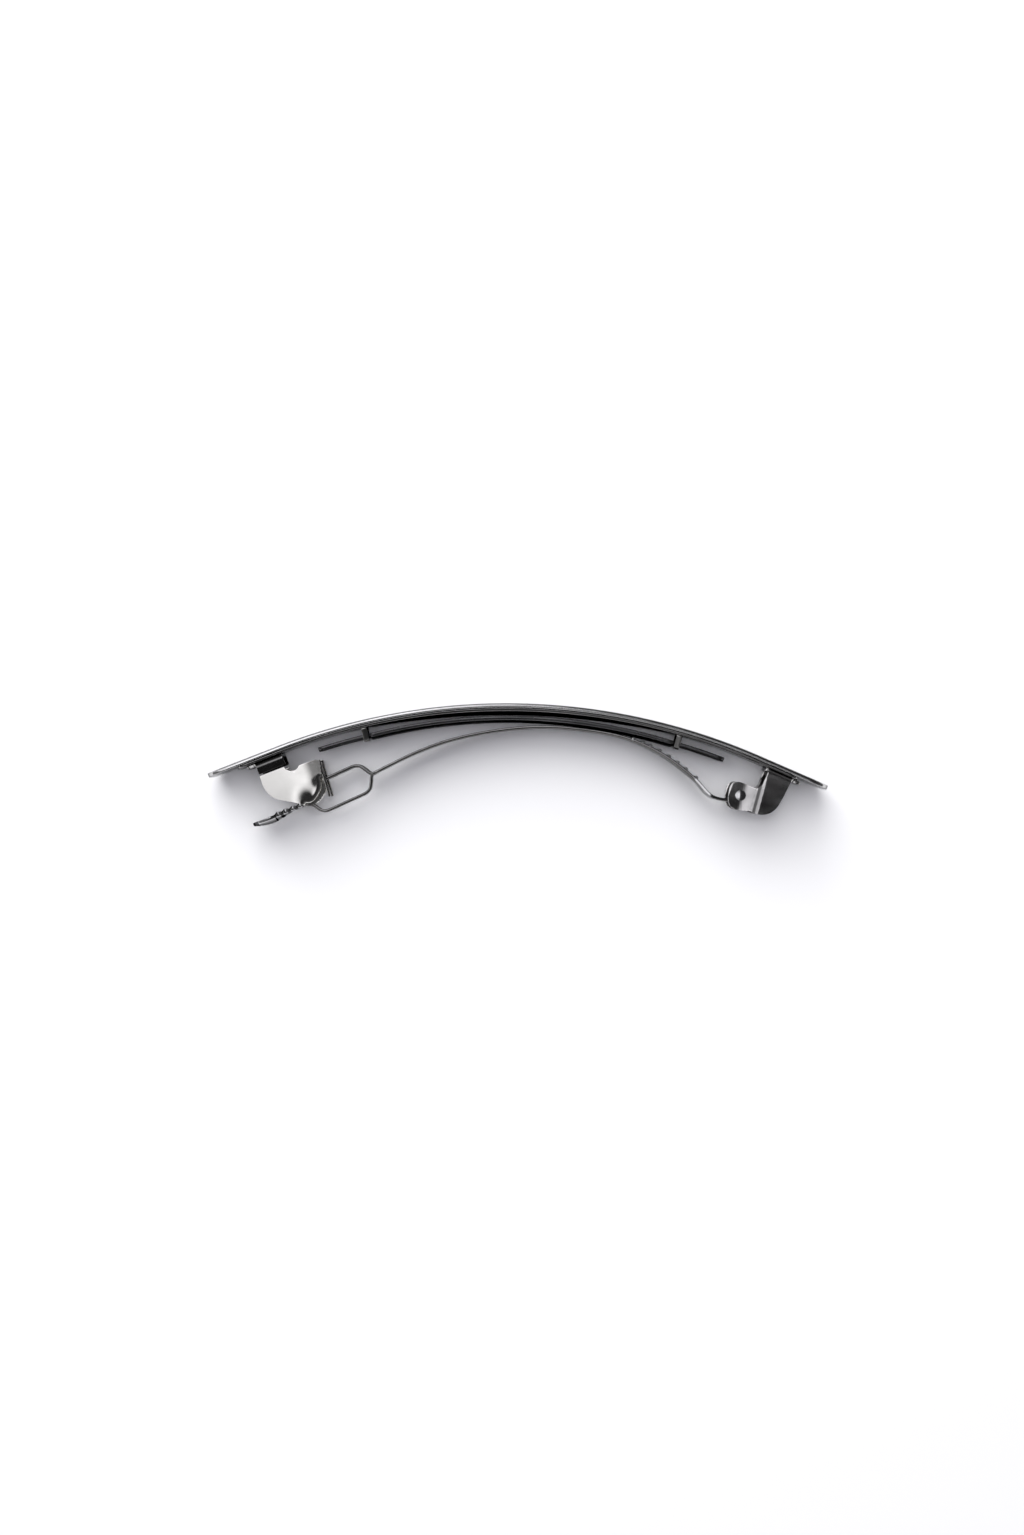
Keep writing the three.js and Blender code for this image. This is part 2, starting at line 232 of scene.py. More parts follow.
def finish_object(name, bm, body, nodes, material):
    """Turns a mesh into a smooth piece that rides on a body and stands for CAD nodes."""
    bmesh.ops.recalc_face_normals(bm, faces=bm.faces)
    mesh = bpy.data.meshes.new(name)
    bm.to_mesh(mesh)
    bm.free()
    mesh.shade_smooth()
    piece = bpy.data.objects.new(name, mesh)
    bpy.context.scene.collection.objects.link(piece)
    mesh.materials.append(material)
    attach(piece, body)
    if nodes:
        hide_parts(*nodes)
    return piece


def weighted_normals(piece):
    """Keeps broad faces flat beside their rounded edges."""
    modifier = piece.modifiers.new("normals", "WEIGHTED_NORMAL")
    modifier.keep_sharp = True
    modifier.weight = NORMAL_WEIGHT


def section_ring(station, edge, crown):
    """The section of a strip, as (height along the normal, place across) pairs.

    The edges of its outer face are rounded by crown, those of its inner face by edge.
    """
    crown = station.get("crown", crown)
    inset = station.get("inset", 0.0)
    top = station["above"] - inset
    bottom = -station["below"] + inset
    near = station["near"] - inset
    far = station["far"] + inset
    room = min((top - bottom) / (HEIGHT_ROOM + edge / crown), (near - far) / WIDTH_ROOM)
    upper = max(LEAST_RADIUS, min(crown - inset, room))
    lower = max(LEAST_RADIUS, min(edge - inset, room * edge / crown))
    ring = []

    def corner(height, across, radius, start):
        for i in range(CORNER_STEPS + 1):
            angle = start + i / CORNER_STEPS * math.pi / 2
            ring.append((height + radius * math.sin(angle), across + radius * math.cos(angle)))

    def side(height, start, end):
        for i in range(1, SIDE_STEPS):
            ring.append((height, start + (end - start) * i / SIDE_STEPS))

    corner(bottom + lower, near - lower, lower, -math.pi / 2)
    corner(top - upper, near - upper, upper, 0.0)
    side(top, near - upper, far + upper)
    corner(top - upper, far + upper, upper, math.pi / 2)
    corner(bottom + lower, far + lower, lower, math.pi)
    side(bottom, far + lower, near - lower)
    middle = (near + far) / 2
    half = max(LEAST_SIZE, (near - far) / 2)
    cup = station.get("cup", 0.0)
    shear = station.get("shear", 0.0)
    return [(h - cup * (1 - ((z - middle) / half) ** 2), z + shear * h) for h, z in ring]


def softened_end(station, ahead, edge):
    """Stations that round off a strip's end, from its tip inwards."""
    steps = []
    for i in range(END_STEPS):
        turn = (END_STEPS - i) / END_STEPS * math.pi / 2
        shift = edge * (1 - math.sin(turn))
        steps.append({**station, "point": station["point"] + ahead * shift,
                      "inset": edge * (1 - math.cos(turn)) * END_INSET})
    return steps


def add_strip(bm, stations, edge, crown):
    """Adds a strip of sheet metal to bm, with rounded edges and closed, softened ends."""
    first = (stations[1]["point"] - stations[0]["point"]).normalized()
    last = (stations[-2]["point"] - stations[-1]["point"]).normalized()
    whole = softened_end(stations[0], first, edge) + stations[1:-1]
    whole += softened_end(stations[-1], last, edge)[::-1]
    rings = []
    for station in whole:
        ring = []
        for height, across in section_ring(station, edge, crown):
            place = station["point"] + station["normal"] * height
            ring.append(bm.verts.new(row_point(place.x, place.y, across)))
        rings.append(ring)
    skin(bm, rings)


def skin(bm, rings):
    """Joins rings of points into one closed surface."""
    for ring, after in zip(rings, rings[1:]):
        for i in range(len(ring)):
            j = (i + 1) % len(ring)
            bm.faces.new((ring[i], ring[j], after[j], after[i]))
    bm.faces.new(rings[0])
    bm.faces.new(rings[-1][::-1])


def arch_place(run, depth):
    """A point at a run along the cover's outer face and a depth under it, and the normal there."""
    angle = max(-ARCH_ANGLE, min(ARCH_ANGLE, run / ARCH_RADIUS))
    beyond = run - angle * ARCH_RADIUS
    normal = Vector((math.sin(angle), math.cos(angle)))
    tangent = Vector((normal.y, -normal.x))
    point = Vector((0, -ARCH_RADIUS)) + normal * (ARCH_RADIUS - depth) + tangent * beyond
    return {"point": point, "normal": normal, "run": run}


def run_to(x):
    """The run along the arch to a chord distance from its middle."""
    return ARC_RUN + (x - STRAIGHT_X) / math.cos(ARCH_ANGLE)


def spread(low, high, count):
    """The ends and the even divisions of a range that is cut into count steps."""
    return [low + (high - low) * i / count for i in range(count + 1)]


def arch_plate(half_run, half_width, corner, depth, thickness):
    """Stations of a plate that follows the arch and has rounded corners."""
    corners = []
    for turn in spread(0, math.pi / 2, PLATE_CORNER_STEPS):
        run = half_run - corner + corner * math.sin(turn)
        corners.append((run, half_width - corner + corner * math.cos(turn)))
    straight = corners[0][0]
    left = [(-run, width) for run, width in reversed(corners)]
    middle = [(run, half_width) for run in spread(-straight, straight, PLATE_STEPS)[1:-1]]
    return [
        {**arch_place(run, depth), "above": 0, "below": thickness, "near": width, "far": -width}
        for run, width in left + middle + corners
    ]


def running_lengths(points):
    """How far each point lies along the line of points."""
    lengths = [0.0]
    for before, after in zip(points, points[1:]):
        lengths.append(lengths[-1] + (after - before).length)
    return lengths


def along_path(points, describe):
    """Stations along a line of points, with the normal on the line's left-hand side."""
    lengths = running_lengths(points)
    stations = []
    for i, point in enumerate(points):
        tangent = (points[min(i + 1, len(points) - 1)] - points[max(i - 1, 0)]).normalized()
        normal = Vector((-tangent.y, tangent.x))
        stations.append({"point": point, "normal": normal, **describe(lengths[i], lengths[-1])})
    return stations


def spaced(points, count):
    """The same line with its points at even distances."""
    lengths = running_lengths(points)
    result = []
    k = 0
    for target in spread(0, lengths[-1], count):
        while k < len(points) - 2 and lengths[k + 1] < target:
            k += 1
        share = (target - lengths[k]) / (lengths[k + 1] - lengths[k])
        result.append(points[k].lerp(points[k + 1], max(0.0, min(1.0, share))))
    return result


def spline(points, per_span=16):
    """A Catmull-Rom curve through the points."""
    result = []
    for i in range(len(points) - 1):
        start = points[i]
        end = points[i + 1]
        leaving = (end - points[max(i - 1, 0)]) / 2
        arriving = (points[min(i + 2, len(points) - 1)] - start) / 2
        for t in spread(0, 1, per_span)[:-1]:
            cube = t ** 3
            square = t ** 2
            result.append(start * (2 * cube - 3 * square + 1) + end * (3 * square - 2 * cube)
                          + leaving * (cube - 2 * square + t) + arriving * (cube - square))
    return result + [points[-1]]


def bend(start, control, end, count=8):
    """A quadratic curve, without its first point."""
    return [start.lerp(control, t).lerp(control.lerp(end, t), t) for t in spread(0, 1, count)[1:]]


def outline_path(moves):
    """An outline from corner points: a pair of numbers is a line to it, four are a curve."""
    points = [Vector(moves[0])]
    for move in moves[1:]:
        if len(move) == 2:
            points.append(Vector(move))
        else:
            points += bend(points[-1], Vector(move[:2]), Vector(move[2:]))
    return points


def arc_points(centre, radius, start, end, count):
    """Points on an arc, its angles in degrees."""
    return [
        Vector(centre) + Vector((math.cos(a), math.sin(a))) * radius
        for a in spread(math.radians(start), math.radians(end), count)
    ]


def sheet_grid(outline, step):
    """A flat outline in the XY plane, cut into a fine grid so that it can be formed."""
    bm = bmesh.new()
    bm.faces.new([bm.verts.new((p.x, p.y, 0)) for p in outline])
    for axis in (0, 1):
        values = [v.co[axis] for v in bm.verts]
        count = max(2, int((max(values) - min(values)) / step))
        direction = Vector((1, 0, 0)) if axis == 0 else Vector((0, 1, 0))
        for value in spread(min(values), max(values), count)[1:-1]:
            bmesh.ops.bisect_plane(
                bm, geom=bm.verts[:] + bm.edges[:] + bm.faces[:], dist=CUT_TOLERANCE,
                plane_co=direction * value, plane_no=direction)
    bmesh.ops.remove_doubles(bm, verts=bm.verts, dist=SAME_POINT)
    return bm


def thicken(piece, thickness, edge):
    """Gives a formed sheet its thickness and rounds its rim."""
    solid = piece.modifiers.new("thickness", "SOLIDIFY")
    solid.thickness = thickness * MM
    solid.offset = 0
    rim = piece.modifiers.new("rim", "BEVEL")
    rim.width = edge * MM
    rim.segments = RIM_STEPS
    rim.limit_method = "ANGLE"
    rim.angle_limit = RIM_ANGLE
    weighted_normals(piece)


def add_dome(bm, centre, facing, radius, height):
    """A small round boss on a face: a flattened cap whose closed skirt is sunk in the metal."""
    facing = facing.normalized()
    side = facing.orthogonal().normalized()
    across = facing.cross(side)
    profile = [(radius, -height)]
    for turn in spread(0, math.pi / 2, DOME_RINGS)[:-1]:
        profile.append((radius * math.cos(turn), height * math.sin(turn)))
    levels = []
    for reach, rise in profile:
        levels.append([
            bm.verts.new(centre + facing * rise
                         + (side * math.cos(a) + across * math.sin(a)) * reach)
            for a in (2 * math.pi * i / DOME_TURNS for i in range(DOME_TURNS))
        ])
    tip = bm.verts.new(centre + facing * height)
    for ring, after in zip(levels, levels[1:]):
        for i in range(DOME_TURNS):
            j = (i + 1) % DOME_TURNS
            bm.faces.new((ring[i], ring[j], after[j], after[i]))
    for i in range(DOME_TURNS):
        bm.faces.new((levels[-1][i], levels[-1][(i + 1) % DOME_TURNS], tip))
    bm.faces.new(levels[0][::-1])


# ---- materials ----------------------------------------------------------------------------------

CLOUD_SCALE = 160
SMEAR_SCALE = 420
SMEAR_STRETCH = (0.35, 1, 1)
GRAIN_SCALE = 2600
GRAIN_HEIGHT = 0.000012
TONE_RAMP = (0.3, 0.72)
POLISH_RANGE = (0.35, 0.7)
RUBBED_RANGE = (0.52, 0.62)
RUBBED_SHARE = 0.35
RUBBED_TONE = (0.82, 0.81, 0.79, 1)
PLAIN = (1, 1, 1)


def metal(name, dark, light, rough_low, rough_high, grain=PLAIN, anisotropy=0.0, bump=0.25,
          rim=0.15):
    """Plated metal: clouded tone, uneven polish, fine drawn grain, and rubbed edges."""
    material = bpy.data.materials.new(name)
    material.use_nodes = True
    nodes = material.node_tree.nodes
    links = material.node_tree.links
    shader = nodes["Principled BSDF"]
    shader.inputs["Metallic"].default_value = 1.0
    shader.inputs["Anisotropic"].default_value = anisotropy
    # Painted shade: a dim edge tint (rim) weakens the metal's grazing reflections, which keeps the
    # gaps between the parts dark.
    shader.inputs["Specular Tint"].default_value = (rim, rim, rim, 1)
    place = nodes.new("ShaderNodeTexCoord")

    def noise(scale, detail, stretch=PLAIN):
        mapping = nodes.new("ShaderNodeMapping")
        mapping.inputs["Scale"].default_value = stretch
        texture = nodes.new("ShaderNodeTexNoise")
        texture.inputs["Scale"].default_value = scale
        texture.inputs["Detail"].default_value = detail
        links.new(place.outputs["Object"], mapping.inputs["Vector"])
        links.new(mapping.outputs["Vector"], texture.inputs["Vector"])
        return texture.outputs["Fac"]

    def map_range(value, source, target):
        node = nodes.new("ShaderNodeMapRange")
        node.inputs["From Min"].default_value = source[0]
        node.inputs["From Max"].default_value = source[1]
        node.inputs["To Min"].default_value = target[0]
        node.inputs["To Max"].default_value = target[1]
        links.new(value, node.inputs["Value"])
        return node.outputs["Result"]

    tone = nodes.new("ShaderNodeValToRGB")
    for element, position, colour in zip(tone.color_ramp.elements, TONE_RAMP, (dark, light)):
        element.position = position
        element.color = (*colour, 1)
    links.new(noise(CLOUD_SCALE, detail=3), tone.inputs["Fac"])

    geometry = nodes.new("ShaderNodeNewGeometry")
    rubbed = map_range(geometry.outputs["Pointiness"], RUBBED_RANGE, (0, RUBBED_SHARE))
    wear = nodes.new("ShaderNodeMix")
    wear.data_type = "RGBA"
    wear.inputs["B"].default_value = RUBBED_TONE
    links.new(rubbed, wear.inputs["Factor"])
    links.new(tone.outputs["Color"], wear.inputs["A"])
    links.new(wear.outputs["Result"], shader.inputs["Base Color"])

    smears = noise(SMEAR_SCALE, detail=5, stretch=SMEAR_STRETCH)
    polish = map_range(smears, POLISH_RANGE, (rough_low, rough_high))
    links.new(polish, shader.inputs["Roughness"])

    relief = nodes.new("ShaderNodeBump")
    relief.inputs["Strength"].default_value = bump
    relief.inputs["Distance"].default_value = GRAIN_HEIGHT
    links.new(noise(GRAIN_SCALE, detail=4, stretch=grain), relief.inputs["Height"])
    links.new(relief.outputs["Normal"], shader.inputs["Normal"])
    return material


COVER_METAL = metal("cover_metal", (0.55, 0.55, 0.54), (0.70, 0.70, 0.69), 0.07, 0.16,
                    grain=(0.06, 1, 1), anisotropy=0.25)
# Painted shade: the base plate's metal is darker than its plating so that the gap between base and
# bow reads near black.
FRAME_SHADE_METAL = metal("frame_metal", (0.21, 0.207, 0.204), (0.30, 0.296, 0.292), 0.08, 0.18,
                    grain=(1, 0.1, 1))
# Painted light: the hinge bracket's metal is lighter than the base's, for the light its wing
# shows.
HINGE_LIT_METAL = metal("hinge_lit_metal", (0.35, 0.345, 0.34), (0.47, 0.462, 0.455), 0.08, 0.18,
                    grain=(1, 0.1, 1))
# Painted shade: the latch bracket is darker than the rest of the plating and its rim reflection is
# weak, which dims the light line along its bend.
LATCH_SHADE_METAL = metal("latch_shade_metal", (0.10, 0.099, 0.097), (0.16, 0.158, 0.155), 0.08, 0.18,
                    grain=(1, 0.1, 1), rim=0.08)
# Painted shade: the arm's spring metal is darker than its plating, for the shade along the arm and
# in the gaps it lines.
SPRING_SHADE_METAL = metal("spring_metal", (0.20, 0.197, 0.193), (0.29, 0.286, 0.281), 0.12, 0.24,
                     grain=(0.05, 0.05, 1), anisotropy=0.4, bump=0.4)
# Painted shade: the bow's metal is near black with a weak rim, for the shade the bow lies in
# between base and arm; the arm's shaded stretches use it too.
BOW_SHADE_METAL = metal("bow_shade_metal", (0.09, 0.09, 0.092), (0.16, 0.16, 0.162), 0.2, 0.34,
                  grain=(0.05, 0.05, 1), anisotropy=0.4, bump=0.4, rim=0.05)
# Painted light: the latch ears, their catch tabs and the base's keepers get a lighter metal than
# the base, for the light these parts show.
EAR_LIT_METAL = metal("ear_metal", (0.48, 0.475, 0.45), (0.60, 0.593, 0.565), 0.06, 0.13,
                  grain=(0.2, 1, 1))
# The pin's own metal; on the arm it also paints the highlight on the bright stretch by the hinge
# and on the grip.
PIN_AND_HIGHLIGHT_METAL = metal("pin_metal", (0.50, 0.50, 0.50), (0.64, 0.64, 0.64), 0.08, 0.2)
# Painted highlight: the bosses are near white, for the light beads they show.
BOSS_HIGHLIGHT_METAL = metal("boss_highlight_metal", (0.84, 0.84, 0.83), (0.94, 0.94, 0.93), 0.36, 0.46)


# ---- cover, base and bow ------------------------------------------------------------------------


def make_cover():
    bm = bmesh.new()
    run = run_to(COVER_HALF_CHORD)
    add_strip(bm, arch_plate(run, COVER_HALF_WIDTH, COVER_CORNER, 0, COVER_THICKNESS),
              COVER_EDGE, COVER_CROWN)
    piece = finish_object("cover", bm, "frame", ["cover_plate"], COVER_METAL)
    weighted_normals(piece)


def rounded_box(half_length, half_height, radius):
    """The outline of a box with rounded corners, as (length, height) pairs."""
    pairs = []
    for across, up, start in ((1, 1, 0), (-1, 1, 90), (-1, -1, 180), (1, -1, 270)):
        for turn in spread(math.radians(start), math.radians(start + 90), 3):
            pairs.append((half_length * (across * (1 - radius) + radius * math.cos(turn)),
                          half_height * (up * (1 - radius) + radius * math.sin(turn))))
    return pairs


def keeper_line():
    """The middle line of a keeper across the width, from one root over the strap to the other."""
    root = BASE_DEPTH + BASE_THICKNESS
    strap = KEEPER_DEPTH + KEEPER_STRAP / 2
    half = KEEPER_HALF_SPAN + KEEPER_STRAP / 2
    line = [Vector((half + KEEPER_LEAN, -root)),
            Vector((half + KEEPER_LEAN * KEEPER_LEAN_SHARE, -strap + KEEPER_TURN))]
    line += bend(line[-1], Vector((half, -strap)), Vector((half - KEEPER_TURN, -strap)))
    return spaced(line + [Vector((-p.x, p.y)) for p in reversed(line)], KEEPER_STEPS)


def add_keeper(bm, side):
    """A bridge lanced out of the base: two legs that lean in, and the strap across them."""
    middle = BOW_SHIFT + side * (KEEPER_START + KEEPER_LENGTH / 2)
    section = rounded_box(KEEPER_LENGTH / 2, 1.0, KEEPER_BEVEL / KEEPER_LENGTH)
    line = keeper_line()
    rings = []
    for i, point in enumerate(line):
        ahead = (line[min(i + 1, len(line) - 1)] - line[max(i - 1, 0)]).normalized()
        out = Vector((-ahead.y, ahead.x)) * KEEPER_STRAP / 2
        ring = []
        for run, rise in section:
            place = arch_place(middle + run, -(point.y + out.y * rise))
            ring.append(bm.verts.new(row_point(*place["point"], point.x + out.x * rise)))
        rings.append(ring)
    skin(bm, rings)


def make_base():
    """The base plate, channelled between the keepers, and its two keepers, which get the lighter
    ear metal as painted light so that they take the tone of the shade around them.
    """
    bm = bmesh.new()
    run = run_to(BASE_HALF_CHORD)
    plate = arch_plate(run, BASE_HALF_WIDTH, BASE_CORNER, BASE_DEPTH, BASE_THICKNESS)
    for station in plate:
        share = min(1.0, abs(station["run"]) / CHANNEL_HALF_RUN)
        station["cup"] = CHANNEL_DEPTH * (1 - share ** 2)
    add_strip(bm, plate, BASE_EDGE, BASE_CROWN)
    plate_faces = len(bm.faces)
    for side in (-1, 1):
        add_keeper(bm, side)
    piece = finish_object("base", bm, "frame", ["base_plate"], FRAME_SHADE_METAL)
    # Painted light: the keepers get the lighter ear metal, to match the shade around them.
    piece.data.materials.append(EAR_LIT_METAL)
    for face in piece.data.polygons[plate_faces:]:
        face.material_index = len(piece.data.materials) - 1
    weighted_normals(piece)


def bow_half_width(run):
    """The bow's edge in plan: wide, then two rounded shoulders, then a tongue with a round tip."""
    reach = abs(run)
    tip = BOW_HALF_LENGTH + TONGUE_LENGTH - reach
    if tip < TONGUE_CORNER:
        left = max(0.0, TONGUE_CORNER ** 2 - (TONGUE_CORNER - tip) ** 2)
        return TONGUE_HALF_WIDTH - TONGUE_CORNER + math.sqrt(left)
    if reach >= BOW_HALF_LENGTH:
        return TONGUE_HALF_WIDTH
    past = reach - (BOW_HALF_LENGTH - BOW_SHOULDER)
    if past > 0:
        left = max(0.0, BOW_SHOULDER ** 2 - past ** 2)
        return BOW_HALF_WIDTH - BOW_SHOULDER + math.sqrt(left)
    return BOW_HALF_WIDTH


def bow_runs():
    """Runs along the bow, dense at its shoulders and tips, that never fall on the step itself."""
    step = 0.001
    end = BOW_HALF_LENGTH + TONGUE_LENGTH
    quarter = spread(0, math.pi / 2, BOW_CORNER_STEPS)
    shoulder = [BOW_HALF_LENGTH - BOW_SHOULDER + (BOW_SHOULDER - step) * math.sin(t)
                for t in quarter]
    tip = [end - TONGUE_CORNER + TONGUE_CORNER * math.sin(t) for t in quarter]
    wide = spread(0, shoulder[0], BOW_STEPS)[1:-1]
    tongue = spread(BOW_HALF_LENGTH + 10 * step, tip[0], TONGUE_STEPS)[:-1]
    half = wide + shoulder + tongue + tip
    return [-run for run in reversed(half)] + [0.0] + half


def make_bow():
    stations = []
    for run in bow_runs():
        drop = BOW_END_DROP * min(1.0, abs(run) / BOW_HALF_LENGTH) ** 2
        width = bow_half_width(run)
        stations.append({**arch_place(run + BOW_SHIFT, BOW_DEPTH + drop), "above": BOW_RISE,
                         "below": SHEET, "near": width, "far": -width,
                         "cup": BOW_CUP * (width / BOW_HALF_WIDTH) ** 2})
    bm = bmesh.new()
    add_strip(bm, stations, BOW_EDGE, BOW_CROWN)
    piece = finish_object("bow", bm, "bow", ["tension_bow"], BOW_SHADE_METAL)
    weighted_normals(piece)


# ---- hinge end ----------------------------------------------------------------------------------

HINGE_EAR = [
    (35.3, -8.65), (34.85, -10.4), (34.6, -11.5, 33.7, -11.3), (31.6, -10.55),
    (30.2, -10.2, 29.95, -11.6), (29.8, -12.8), (29.8, -14.35, 31.3, -14.5), (33.0, -14.6),
    (33.7, -15.1, 34.6, -15.1), (36.2, -15.05, 37.0, -13.6), (37.7, -12.3), (38.4, -9.95),
]


def right_local(point):
    """From the drawing's frame to the frame of the right straight run."""
    return Matrix.Rotation(ARCH_ANGLE, 2) @ (point - Vector((STRAIGHT_X, STRAIGHT_Y)))


def right_drawn(x, y):
    """From the frame of the right straight run to the drawing's frame."""
    return Matrix.Rotation(-ARCH_ANGLE, 2) @ Vector((x, y)) + Vector((STRAIGHT_X, STRAIGHT_Y))


def left_drawn(x, y):
    """From the frame of the left straight run to the drawing's frame."""
    return Matrix.Rotation(ARCH_ANGLE, 2) @ Vector((x, y)) + Vector((-STRAIGHT_X, STRAIGHT_Y))


def smooth_step(value, low, high):
    t = max(0.0, min(1.0, (value - low) / (high - low)))
    return t * t * (3 - 2 * t)


def fold(across, half_foot, depth, lean=0.0):
    """Where a place across a flat blank ends up: (place across, depth) round a bend and down."""
    side = -1 if across < 0 else 1
    reach = abs(across)
    flat = half_foot - BEND_RADIUS
    quarter = BEND_RADIUS * (math.pi / 2 - lean)
    if reach <= flat:
        return side * reach, depth
    if reach <= flat + quarter:
        turn = (reach - flat) / BEND_RADIUS
        return (side * (flat + BEND_RADIUS * math.sin(turn)),
                depth + BEND_RADIUS * (1 - math.cos(turn)))
    down = reach - flat - quarter
    turn = math.pi / 2 - lean
    return (side * (flat + BEND_RADIUS * math.sin(turn) + down * math.cos(turn)),
            depth + BEND_RADIUS * (1 - math.cos(turn)) + down * math.sin(turn))


def wing_step(place):
    """How far the ear is pressed in at a point: a steep joggle, then an easy slope to the eye."""
    along = place.x - WING_LEAN * (place.y - PIN.y)
    steep = 1 - smooth_step(along, *WING_STEEP)
    easy = 1 - smooth_step(along, *WING_EASY)
    share = WING_STEEP_SHARE * steep + (1 - WING_STEEP_SHARE) * easy
    return (EAR_INNER - WING_INNER) * share


def hinge_blank(flat, depth):
    """The flat outline of the hinge bracket: its foot, with an unfolded ear on each side."""
    unfolded = flat + BEND_RADIUS * math.pi / 2 - BEND_RADIUS - depth
    ear = [right_local(p) for p in outline_path(HINGE_EAR)]
    near = [Vector((p.x, unfolded - p.y)) for p in ear if -p.y > depth + HINGE_EAR_START]
    far = [Vector((p.x, -p.y)) for p in near]
    left, right = HINGE_FOOT
    left_root = near[0].x - HINGE_ROOT_WIDER[0]
    right_root = near[-1].x + HINGE_ROOT_WIDER[1]
    shoulder = right_root + HINGE_ROOT_SLOPE
    corner = HINGE_FOOT_CORNER
    blank = [Vector((left, -flat)), Vector((left_root, -flat - ROOT_RELIEF))] + far
    blank += [Vector((right_root, -flat - ROOT_RELIEF)), Vector((shoulder, -flat))]
    blank += arc_points((right - corner, -flat + corner), corner, -90, 0, FOOT_CORNER_STEPS)
    blank += arc_points((right - corner, flat - corner), corner, 0, 90, FOOT_CORNER_STEPS)
    blank += [Vector((shoulder, flat)), Vector((right_root, flat + ROOT_RELIEF))] + near[::-1]
    return blank + [Vector((left_root, flat + ROOT_RELIEF)), Vector((left, flat))]


def make_hinge_bracket():
    half_foot = EAR_INNER + SHEET / 2
    depth = FOOT_DEPTH + SHEET / 2
    bm = sheet_grid(hinge_blank(half_foot - BEND_RADIUS, depth), FORMING_STEP)
    for v in bm.verts:
        across, down = fold(v.co.y, half_foot, depth)
        place = right_drawn(v.co.x, -down)
        side = 1 if across > 0 else -1
        inward = wing_step(place) if down > depth + WING_START else 0
        v.co = row_point(place.x, place.y, across - side * inward)
    piece = finish_object("hinge_bracket_sheet", bm, "frame", ["hinge_bracket"],
                          HINGE_LIT_METAL)
    thicken(piece, SHEET, HINGE_RIM)


def pin_profile():
    """Half of the pin, as (radius, distance from its middle) pairs up to its domed head."""
    head = WING_INNER + SHEET + PIN_HEAD_GAP
    rim = head + PIN_HEAD_HEIGHT - PIN_HEAD_DOME
    face = PIN_HEAD_RADIUS - PIN_HEAD_ROUND
    profile = [(0.0, 0.0), (PIN_RADIUS, 0.0), (PIN_RADIUS, head),
               (PIN_HEAD_RADIUS - PIN_HEAD_UNDERCUT, head)]
    for turn in spread(0, math.pi / 2, PIN_ROUND_STEPS):
        profile.append((PIN_HEAD_RADIUS - PIN_HEAD_ROUND * (1 - math.cos(turn)),
                        rim - PIN_HEAD_ROUND * (1 - math.sin(turn))))
    for radius in spread(face, 0.0, PIN_DOME_STEPS)[1:]:
        profile.append((radius, rim + PIN_HEAD_DOME * (1 - (radius / face) ** 2)))
    return profile


def make_pin():
    bm = bmesh.new()
    for side in (1, -1):
        rings = []
        for radius, height in pin_profile():
            count = PIN_TURNS if radius else 1
            rings.append([
                bm.verts.new(row_point(PIN.x + radius * math.cos(a), PIN.y + radius * math.sin(a),
                                       side * height))
                for a in (2 * math.pi * i / PIN_TURNS for i in range(count))
            ])
        for ring, after in zip(rings, rings[1:]):
            for i in range(PIN_TURNS):
                j = (i + 1) % PIN_TURNS
                quad = [ring[i % len(ring)], ring[j % len(ring)],
                        after[j % len(after)], after[i % len(after)]]
                bm.faces.new(list(dict.fromkeys(quad)))
    bmesh.ops.remove_doubles(bm, verts=bm.verts, dist=SAME_PIN_POINT)
    piece = finish_object("pin", bm, "frame", ["hinge_pin"], PIN_AND_HIGHLIGHT_METAL)
    weighted_normals(piece)


# ---- clasp arm ----------------------------------------------------------------------------------

ARM_LINE = [(31.55, -13.18), (28.8, -13.0), (27.1, -12.3), (24.8, -9.95), (20.1, -6.65),
            (14.3, -4.35), (6.0, -3.3), (-1.0, -3.6), (-8.3, -5.0), (-14.2, -7.1)]
# Where the arm's other metals stand in its list of materials, after the darkened spring metal: a
# painted highlight, a painted shade, and the bosses' painted highlight.
PAINTED_HIGHLIGHT = 1
PAINTED_SHADE = 2
BOSSED = 3


def arm_section(near, far):
    """A plain section of the arm between two places across."""
    return {"above": ARM_HALF_THICKNESS, "below": ARM_HALF_THICKNESS, "near": near, "far": far}


def strip_section(run, total):
    """The strip in plan: even at the eye, a short flare, then a long taper to the loop."""
    flare = run - EYE_RUN - EYE_NECK
    if flare < 0:
        width = EYE_HALF_WIDTH
    elif flare < ARM_FLARE:
        width = EYE_HALF_WIDTH + (ARM_WIDE_HALF_WIDTH - EYE_HALF_WIDTH) * flare / ARM_FLARE
    else:
        share = (flare - ARM_FLARE) / (total - EYE_RUN - EYE_NECK - ARM_FLARE)
        width = ARM_WIDE_HALF_WIDTH + (ARM_SLIM_HALF_WIDTH - ARM_WIDE_HALF_WIDTH) * share
    return arm_section(width, -width)


